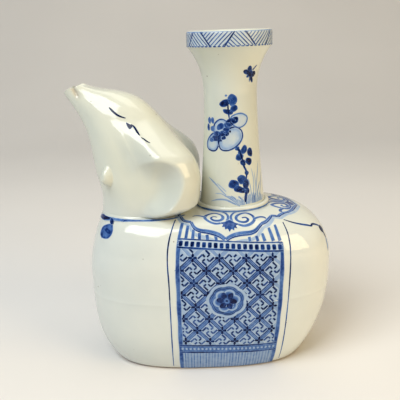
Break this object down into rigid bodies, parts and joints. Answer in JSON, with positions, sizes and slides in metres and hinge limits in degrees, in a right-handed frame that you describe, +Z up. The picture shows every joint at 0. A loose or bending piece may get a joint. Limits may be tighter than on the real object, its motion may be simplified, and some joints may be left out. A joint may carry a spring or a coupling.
{
  "type": "elephant kendi",
  "caption": "Handleless porcelain pouring vessel in the form of an elephant: hollow rounded body, tall flared filling neck and a raised trunk that pours.",
  "frame": {"origin": "on the underside of the base slab, midway between the front and back ends of the body and on its plane of symmetry", "axes": "+Z up along the neck's bore, +X from the head towards the tail, +Y towards the elephant's right side"},
  "size_m": [0.1637, 0.0936, 0.2053],
  "materials": {
    "glazed_porcelain": "glossy clear glaze over white porcelain painted in cobalt blue",
    "bare_clay": "matt unglazed"
  },
  "bodies": {
    "root": {"base_slab": "bare_clay", "body_lower": "glazed_porcelain", "body_seam_slip": "glazed_porcelain", "body_upper": "glazed_porcelain", "neck_collar": "glazed_porcelain", "neck_tube": "glazed_porcelain", "mouth_ring": "glazed_porcelain", "head_joint_slip": "glazed_porcelain", "head_left": "glazed_porcelain", "head_right": "glazed_porcelain", "ear_left": "glazed_porcelain", "ear_right": "glazed_porcelain", "tusk_left": "glazed_porcelain", "tusk_right": "glazed_porcelain"}
  },
  "joints": []
}
